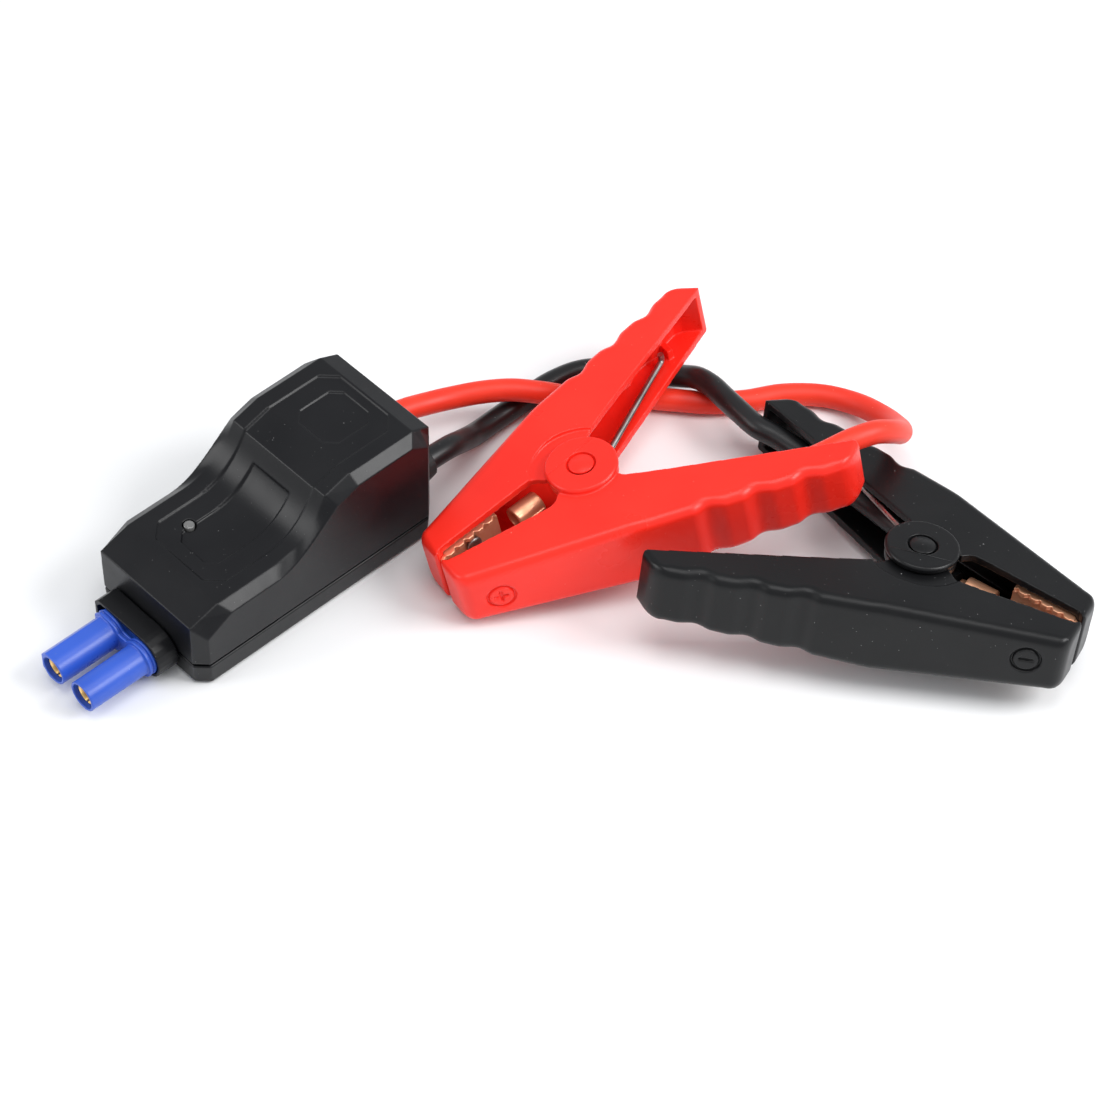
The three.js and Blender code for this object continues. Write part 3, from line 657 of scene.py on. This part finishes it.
def make_grip(positive):
    """Channel with a disc over the hinge on one side and an ear under it on the other."""
    stations = grip_stations()
    grip = loft([grip_ring(*station) for station in stations])
    inside = [((38.4, 2.2), (38.2, back_edge(38.2)))]
    inside += [s[:2] for s in stations if -46.5 < s[1][0] < 37.5]
    inside.append(((-53.4, 32.9), (-47.6, 37)))
    cut(grip, loft([cavity_ring(a, b) for a, b in inside]))
    ear_top = DISC_UNDER - GAP
    cut(grip, upright(DISC + GAP, 0, DISC_UNDER))
    cut(grip, upright(RECESS, -14, -ear_top, 96))
    join(grip, upright(DISC, DISC_UNDER, DISC_TOP, 96, 0.5))
    join(grip, upright(EAR, -ear_top, -ear_top + WALL, 96))
    cut(grip, upright(PIN_HOLE, -14, 14))
    cut(grip, upright(BOSS + GAP, DISC_TOP - 1, 14))
    spring_stop = block(-43, -41.4, 30.2, 34.6, 3.4, 6.3)
    join(grip, spring_stop)
    cut(grip, polarity_mark(positive))
    return softened(grip, 0.25, 1)


def tube_points(points, steps):
    """Points along a centripetal curve through the given points."""
    found = []
    spots = [Vector(p) for p in points]
    first = spots[0] * 2 - spots[1]
    last = spots[-1] * 2 - spots[-2]
    spots = [first, *spots, last]
    for k in range(1, len(spots) - 2):
        p0, p1, p2, p3 = spots[k - 1:k + 3]
        t0 = 0.0
        t1 = t0 + math.sqrt((p1 - p0).length)
        t2 = t1 + math.sqrt((p2 - p1).length)
        t3 = t2 + math.sqrt((p3 - p2).length)
        for i in range(steps):
            t = t1 + (t2 - t1) * i / steps
            a1 = p0 * ((t1 - t) / (t1 - t0)) + p1 * ((t - t0) / (t1 - t0))
            a2 = p1 * ((t2 - t) / (t2 - t1)) + p2 * ((t - t1) / (t2 - t1))
            a3 = p2 * ((t3 - t) / (t3 - t2)) + p3 * ((t - t2) / (t3 - t2))
            b1 = a1 * ((t2 - t) / (t2 - t0)) + a2 * ((t - t0) / (t2 - t0))
            b2 = a2 * ((t3 - t) / (t3 - t1)) + a3 * ((t - t1) / (t3 - t1))
            found.append(b1 * ((t2 - t) / (t2 - t1)) + b2 * ((t - t1) / (t2 - t1)))
    found.append(spots[-2])
    return found


def wire(name, points, radius, material, resolution):
    """Round tube along points."""
    curve = bpy.data.curves.new(name, "CURVE")
    curve.dimensions = "3D"
    curve.bevel_depth = radius * MM
    curve.bevel_resolution = resolution
    curve.use_fill_caps = True
    spline = curve.splines.new("POLY")
    spline.points.add(len(points) - 1)
    for point, place in zip(spline.points, points):
        point.co = (*(place * MM), 1)
    spline.use_smooth = True
    curve.materials.append(MATERIALS[material])
    obj = bpy.data.objects.new(name, curve)
    bpy.context.scene.collection.objects.link(obj)
    return obj


def spring_points():
    """Straight leg along grip a, coil round the pin, straight leg along grip b."""
    coil, half, turns, reach, slope = 3.8, SPRING_HALF, 5, 49.6, 33 * RAD
    leave = math.pi / 2 - slope

    def leg(side):
        def along(far):
            return Vector((coil * math.cos(leave) - far * math.cos(slope),
                           side * (coil * math.sin(leave) + far * math.sin(slope)), side * half))
        tip = along(reach)
        hook = [tip - Vector((0, 0, side * drop)) for drop in (2.2, 1.4, 0.6)]
        return [*hook, along(reach - 0.6), along(reach - 2), *(along(far) for far in (30, 15, 5))]

    middle = []
    for i in range(161):
        angle = leave - (2 * leave + turns * 2 * math.pi) * i / 160
        middle.append(Vector((coil * math.cos(angle), coil * math.sin(angle),
                              half * (1 - i / 80))))
    near = tube_points([*leg(1), middle[0]], 5)
    far = tube_points([middle[-1], *reversed(leg(-1))], 5)
    return [*near[:-1], *middle, *far[1:]]


def make_spring(colour, place):
    """Spring whose two legs lie along the fixed grip and the lever as they stand."""
    points = [place @ p for p in spring_points()]
    curve = wire(f"{colour}_spring_wire", points, 0.8, "steel", 3)
    mesh = bpy.data.meshes.new_from_object(
        curve.evaluated_get(bpy.context.evaluated_depsgraph_get()))
    bpy.data.objects.remove(curve)
    spring = bpy.data.objects.new(f"{colour}_torsion_spring", mesh)
    bpy.context.scene.collection.objects.link(spring)
    for polygon in mesh.polygons:
        polygon.use_smooth = True
    mesh.materials.clear()
    mesh.materials.append(MATERIALS["steel"])
    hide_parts(f"{colour}_spring")
    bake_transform(spring)


# ---- Jaws, rivets, strands and pins ---------------------------------------

# The jaw plate's biting face, then the crimp barrel and the rivet: place and lean
JAW_LINE = [(39.7, 0.45), (38.6, 1.2), (37.4, 1.9), (34, 2.9), (22, 5.2), (18, 5.95)]
BARREL = ((11, 5.2, -1), -0.16)
RIVET = ((30.2, 3.7, -1.8), -0.19)


def tooth(x):
    """How far the rolled edge stands out from the plate: steps with a steep side."""
    phase = ((38.2 - x) / 3) % 1
    return 0.2 + 0.95 * min(1, phase / 0.35, (1 - phase) / 0.2)


def leaning(spot, angle):
    place, lean = spot
    return Matrix.Translation(place) @ Matrix.Rotation(lean + angle, 4, "Z")


def make_jaw():
    """Plate with two toothed edges, necked down to a rolled barrel with folded wings."""
    xs = [39.6 - 0.1 * i for i in range(178)]
    flat = [(x, line_at(JAW_LINE, x)) for x in xs]
    outline = flat + [(x + 0.12, y + 0.9) for x, y in reversed(flat)]
    plate = prism(outline, -5, 5)
    for low in (-5.3, 4.1):
        front = [(x, line_at(JAW_LINE, x) - tooth(x)) for x in xs if 20.3 < x < 38.3]
        back = [(x + 0.1, line_at(JAW_LINE, x) + 1.2) for x, _ in reversed(front)]
        join(plate, prism(front + back, low, low + 1.2))
    for z in (-7, 3.6):
        cut(plate, block(17, 22.3, 0, 12, z, z + 3.4))
    rolled = turned([(-0.1, 2.2), (-0.1, 2.85), (0.1, 3.05), (7.3, 3.05), (7.5, 2.85),
                     (7.5, 2.2)], 72)
    cut(rolled, block(-1, 9, -4, -1.5, -0.22, 0.22))
    for wing in (-0.62, 0.25):
        join(rolled, block(0.3, 7.1, -3.35, -2.2, wing, wing + 0.37))
    rolled.data.transform(leaning(BARREL, 0))
    join(plate, rolled)
    hole = upright(1.4, -5, 5, 32)
    hole.data.transform(leaning(RIVET, 0) @ Matrix.Rotation(math.pi / 2, 4, "X"))
    cut(plate, hole)
    return softened(plate, 0.13, 1)


def make_rivet():
    """Domed head on a shank."""
    dome = [(-0.4, 2.1), (-0.9, 2.08)]
    dome += [(-0.9 - 0.75 * math.sin(a), 2.08 * math.cos(a))
             for a in (math.pi / 2 * i / 8 for i in range(1, 8))]
    rivet = turned([*dome, (-1.66, 0.03), (6.6, 0.03), (6.6, 1.1), (-0.4, 1.1)], 48)
    rivet.data.transform(leaning(RIVET, math.pi / 2))
    return rivet


def make_strands():
    """Twisted bare strands between the jacket and the crimp barrel."""
    rings = []
    for i in range(30):
        along = -1.7 + 8.5 * i / 29
        ring = []
        for k in range(96):
            a = 2 * math.pi * k / 96
            radius = 1.56 + 0.14 * abs(math.sin(6 * (a - along * 0.35)))
            ring.append((along, radius * math.cos(a), radius * math.sin(a)))
        rings.append(ring)
    strands = loft(rings)
    strands.data.transform(leaning(BARREL, 0))
    return strands


def make_mould_line():
    """Faint raised line across the hinge disc."""
    line = block(-7.4, 7.4, -0.1, 0.1, DISC_TOP - 0.3, DISC_TOP + 0.07)
    line.data.transform(Matrix.Rotation(0.22, 4, "Z") @ Matrix.Translation((0, -3.7, 0)))
    return line


def make_pin():
    """Hinge pin with a head at each end."""
    pin = upright(2.4, -10.7, 10.7, 64)
    for low in (-11, 10.4):
        join(pin, upright(3.05, low, low + 0.6, 72, 0.15))
    return pin


# ---- Connector ------------------------------------------------------------

def barrel_outline(radius, squared):
    """Round, or with the outer side squared and its corners cut."""
    points = circle(radius, 96)
    if not squared:
        return points
    side = radius * 0.42
    return [*(p for p in points if p[0] < -0.01), (0, -radius), (radius - side * 1.3, -radius),
            (radius, -radius + side * 1.3), (radius, radius - side), (radius - side, radius),
            (0, radius)]


def across(outline, x0, x1, side):
    """Outline across the box (y, z) round one barrel's middle, pushed along x."""
    y0 = side * BARREL_PITCH / 2
    return loft([[(x, y0 + y, BARREL_Z + z) for y, z in outline] for x in (x0, x1)])


def make_housing():
    """Two barrels, with a double ridge that follows both of them at the root."""
    housing = block(FRONT - 2.6, FRONT + 6, -5.4, 5.4, BARREL_Z - 3, BARREL_Z + 3)
    # Radius, start and end ahead of the case, whether a web joins the two, whether one is squared
    steps = ((3.95, FRONT - BARREL_START, 2.5, False, True), (4.75, 7.7, 7.05, True, True),
             (4.15, 7.2, 6.3, True, True), (4.75, 6.45, 5.8, True, True),
             (4.3, 6, 2.5, True, True), (4.2, 2.6, -6, False, False))
    for radius, start, end, webbed, squared in steps:
        for side in (-1, 1):
            join(housing, across(barrel_outline(radius, side > 0 and squared),
                                 FRONT - start, FRONT - end, side))
        if webbed:
            join(housing, block(FRONT - start, FRONT - end, -3, 3,
                                BARREL_Z - radius + 2, BARREL_Z + radius - 2))
    for side in (-1, 1):
        for radius, start, end in ((3.3, 25, 4), (2.7, 5, -20)):
            cut(housing, across(circle(radius, 96), FRONT - start, FRONT - end, side))
    return softened(housing, 0.14, 1)


def make_socket(side):
    """Contact sleeve, split at its mouth and closed further in."""
    socket = turned([(0, 2.5), (0, 2.9), (0.15, 3.05), (17.5, 3.05), (17.5, 2.3), (29, 2.3),
                     (29, 0.03), (16, 0.03), (16, 2.5)], 72)
    cut(socket, block(-1, 9, -0.25, 0.25, -4, 4))
    socket.data.transform(Matrix.Translation(
        (CONTACT_START, side * BARREL_PITCH / 2, BARREL_Z)))
    return socket


# ---- Cables ---------------------------------------------------------------

CABLE_RADIUS = 2.9
# Points along each cable's middle, from the case to the clamp
ROUTES = {
    "red": [
        (18.2, 30.6, 12), (24.8, 37.3, 12), (29.6, 41.4, 11.3), (35.2, 45.3, 9.9),
        (41.4, 48.4, 9.1), (48.2, 50.4, 9.2), (55.7, 51.2, 9.6), (63, 51.8, 8.4),
        (70, 53.8, 5.2), (77, 55.7, 3.4), (86, 56.5, 3.1), (96, 55.9, 3.1), (105, 55.4, 3.1),
        (114, 56.4, 3.1), (123.5, 59, 3.1), (133.5, 59.2, 3.1), (142, 55.8, 3.9),
        (147.8, 49, 6.8), (150.4, 40.8, 12), (150.1, 33, 18.6), (147.2, 27, 25),
        (142.6, 23.2, 28.6), (137, 20, 29.1), (130.5, 16.9, 27.5), (121.7, 13, 25.5),
        (112.3, 9.4, 23.4), (96.7, 6.4, 20.3), (87.4, 4.5, 18.3), (81.1, 3.6, 16.2),
        (76.6, 3.3, 14.7), (73.8, 3.1, 13.8), (71.9, 2.9, 13.4)],
    "black": [
        (30.2, 18.3, 12), (37.2, 25.3, 12), (41.4, 30.3, 10.8), (44.6, 35.8, 7.4),
        (47.4, 41, 4.3), (52, 47, 3.1), (58.6, 53.8, 3.1), (65.6, 60.6, 3.1), (73, 64.9, 3.1),
        (81.5, 65.9, 3.1), (88.5, 65.6, 3.1), (94, 64.2, 3.6), (98.3, 61.7, 5.8),
        (101.8, 58.7, 8.4), (105, 55.1, 9.7), (108.3, 50.4, 10.3), (112.2, 45, 10.9),
        (116.1, 40.1, 11.3), (120.9, 37, 11.2), (125.7, 33.2, 10.8), (130.2, 28.8, 10.7),
        (135.3, 23.2, 11), (141.1, 16.9, 11.7), (146.1, 11.2, 12.3), (152.5, 3.9, 12.9),
        (156.7, -1.2, 12.7), (159.2, -5.1, 12.6), (160.9, -7.5, 12.5), (162, -9, 12.5)],
}


def make_cables():
    for colour, route in ROUTES.items():
        points = tube_points(route, 6)
        cable = wire(f"{colour}_silicone_cable", points, CABLE_RADIUS, f"cable_{colour}", 8)
        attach(cable, "base")
        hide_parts(f"{colour}_cable")


# ---- Everything -----------------------------------------------------------

camera()
studio()
floor()
make_cables()

finished(make_box(), "case_top", "case_black", BOX_PLACE, replaces=["upper_shell"])
for node, material, voxel in (("lower_cover", "case_black", 0.35),
                              ("connector_collar", "case_black", 0.18),
                              ("red_grommet", "rubber_black", 0.25),
                              ("black_grommet", "rubber_black", 0.25)):
    obj = softened(cad_copy(node), voxel, 2)
    finished(obj, f"{node}_moulding", material, replaces=[node])

finished(make_housing(), "twin_barrel", "connector_blue", BOX_PLACE,
         replaces=["connector_housing"])
finished(make_led(), "lamp", "led_lens", BOX_PLACE, replaces=["status_led"])

for sign, side in (("positive", 1), ("negative", -1)):
    finished(make_socket(side), f"contact_{sign}", "brass", BOX_PLACE, replaces=[f"socket_{sign}"])

# Grip b is grip a turned over about the clamp's long axis, and the same jaw and rivet serve both
flip = Matrix.Rotation(math.pi, 4, "X")
jaw = make_jaw()
for colour in ("red", "black"):
    place = clamp_place(colour)
    grip = make_grip(colour == "red")
    for side, riding, turn in (("a", "base", Matrix()), ("b", f"{colour}_lever", flip)):
        finished(copy_of(grip), f"{colour}_handle_{side}", f"clamp_{colour}", place @ turn,
                 riding, [f"{colour}_grip_{side}"])
        finished(copy_of(jaw), f"{colour}_jaw_plate_{side}", "copper", place @ turn, riding,
                 [f"{colour}_jaw_{side}"])
        finished(make_rivet(), f"{colour}_rivet_head_{side}", "steel", place @ turn, riding,
                 [f"{colour}_rivet_{side}"])
    bpy.data.objects.remove(grip)
    finished(make_strands(), f"{colour}_strands", "copper", place,
             replaces=[f"{colour}_conductor"])
    finished(make_pin(), f"{colour}_hinge_pin", f"clamp_{colour}", place,
             replaces=[f"{colour}_pivot_pin"])
    finished(make_mould_line(), f"{colour}_mould_line", f"clamp_{colour}", place)
    make_spring(colour, place)
bpy.data.objects.remove(jaw)

# The CAD nodes that still show get the materials named in the record
for node, obj in frame["nodes"].items():
    if obj.hide_render:
        continue
    slot = next(s["material_slot"] for s in frame["record"]["subparts"] if s["node"] == node)
    obj.data.materials.clear()
    obj.data.materials.append(MATERIALS[slot])
